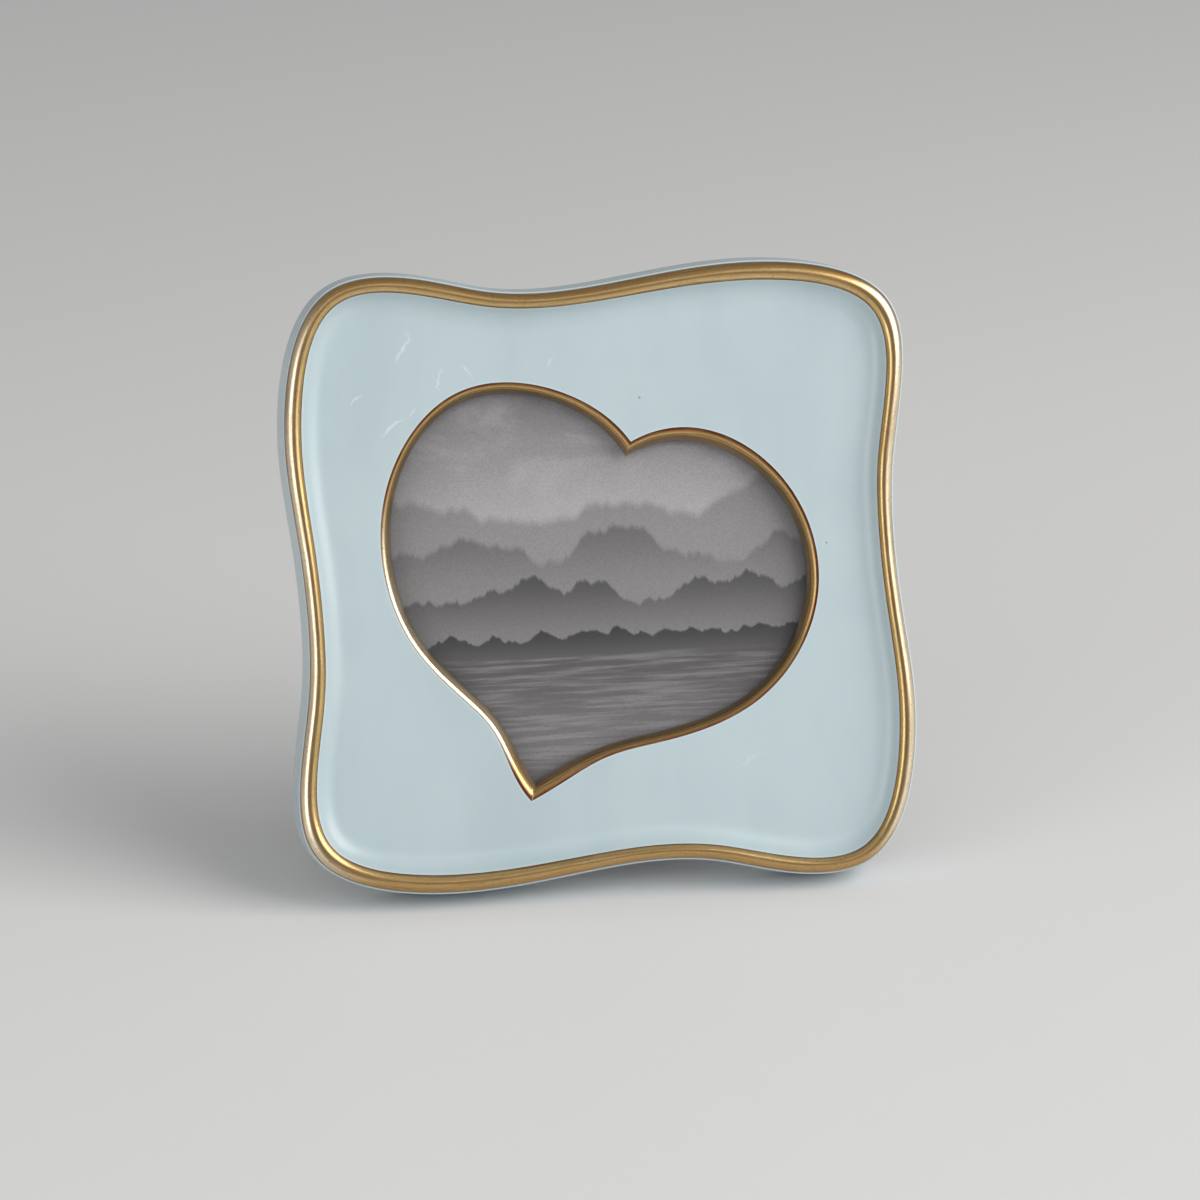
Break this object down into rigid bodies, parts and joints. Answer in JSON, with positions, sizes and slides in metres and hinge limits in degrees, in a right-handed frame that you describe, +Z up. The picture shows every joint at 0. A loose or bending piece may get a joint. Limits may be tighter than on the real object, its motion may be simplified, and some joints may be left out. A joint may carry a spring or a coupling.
{
  "type": "table photo frame",
  "caption": "Wavy square table frame with a gilded bead, a dished face, a tilted heart-shaped window over a square print, and a velvet back with a hinged easel strut.",
  "frame": {"origin": "middle of the footprint, on the table under the standing frame", "axes": "X across the frame, +Y from the face to the back, +Z up; the face looks towards -Y and leans back from upright"},
  "size_m": [0.1461, 0.0736, 0.141],
  "materials": {
    "lacquer": "pale blue lacquer on cast resin, brushed and glossy, with gilded edges",
    "glass": "clear",
    "print": "satin print",
    "grey_board": "matt",
    "fibreboard": "matt",
    "velvet": "velvet",
    "lining_paper": "matt",
    "brass": "satin, plated",
    "steel": "plain"
  },
  "bodies": {
    "frame": {"frame_casting": "lacquer", "glass_pane": "glass", "photo_print": "print", "filler_card": "grey_board", "board_core": "fibreboard", "board_velvet": "velvet", "board_lining": "lining_paper", "hinge_fixed_leaf": "brass", "hinge_pin": "steel", "board_rivets": "brass", "turn_button_screws": "brass"},
    "strut": {"strut_core": "fibreboard", "strut_velvet": "velvet", "strut_lining": "lining_paper", "hinge_moving_leaf": "brass", "strut_rivets": "brass"},
    "turn_button_upper_left": {"turn_button_upper_left": "brass"},
    "turn_button_upper_right": {"turn_button_upper_right": "brass"},
    "turn_button_lower_left": {"turn_button_lower_left": "brass"},
    "turn_button_lower_right": {"turn_button_lower_right": "brass"}
  },
  "joints": [
    {"name": "strut_hinge", "type": "hinge", "parent": "frame", "child": "strut", "pos_m": [0, 0.00608, 0.09136], "axis": [-1, 0, 0], "range_deg": [0, 34]},
    {"name": "turn_upper_left", "type": "hinge", "parent": "frame", "child": "turn_button_upper_left", "pos_m": [-0.0568, 0.00524, 0.09513], "axis": [0, -0.9613, 0.2756], "continuous": true},
    {"name": "turn_upper_right", "type": "hinge", "parent": "frame", "child": "turn_button_upper_right", "pos_m": [0.0568, 0.00524, 0.09513], "axis": [0, -0.9613, 0.2756], "continuous": true},
    {"name": "turn_lower_left", "type": "hinge", "parent": "frame", "child": "turn_button_lower_left", "pos_m": [-0.0568, -0.0113, 0.03746], "axis": [0, -0.9613, 0.2756], "continuous": true},
    {"name": "turn_lower_right", "type": "hinge", "parent": "frame", "child": "turn_button_lower_right", "pos_m": [0.0568, -0.0113, 0.03746], "axis": [0, -0.9613, 0.2756], "continuous": true}
  ]
}
